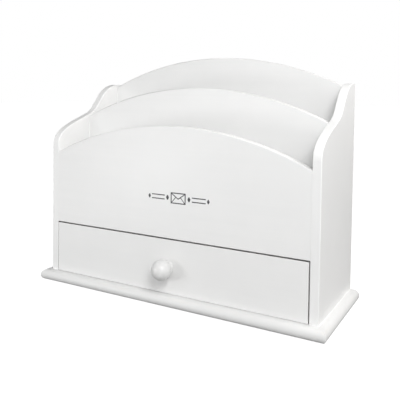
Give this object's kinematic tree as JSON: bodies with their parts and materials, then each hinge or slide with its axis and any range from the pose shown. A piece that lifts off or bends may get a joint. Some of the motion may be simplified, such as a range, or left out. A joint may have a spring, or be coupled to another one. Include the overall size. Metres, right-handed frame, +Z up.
{
  "type": "envelope sorter with drawer",
  "caption": "White painted wooden letter rack with arched panels forming open pockets for envelopes, stepped curved sides and a shallow drawer with a ball knob below.",
  "frame": {"origin": "on the table, in the middle of the base board's rest face", "axes": "+Z up, -Y out of the front where the drawer opens, +X to the right seen from the front"},
  "size_m": [0.35, 0.1424, 0.2712],
  "materials": {
    "white_paint": "satin",
    "knob_paint": "satin",
    "drawer_wood": "satin",
    "drawer_board": "matte",
    "zinc_steel": "satin",
    "bright_steel": "satin"
  },
  "bodies": {
    "case": {"base_board": "white_paint", "left_side": "white_paint", "right_side": "white_paint", "back_panel": "white_paint", "middle_divider": "white_paint", "front_panel": "white_paint", "compartment_floor": "white_paint", "base_screws": "zinc_steel", "left_side_brads": "bright_steel", "right_side_brads": "bright_steel"},
    "drawer": {"drawer_front": "white_paint", "drawer_left_side": "drawer_wood", "drawer_right_side": "drawer_wood", "drawer_back": "drawer_wood", "drawer_bottom": "drawer_board", "drawer_knob": "knob_paint", "knob_screw": "zinc_steel", "knob_washer": "zinc_steel", "drawer_brads": "bright_steel"}
  },
  "joints": [
    {"name": "drawer_slide", "type": "slide", "parent": "case", "child": "drawer", "axis": [0, -1, 0], "range_m": [0, 0.08]}
  ]
}
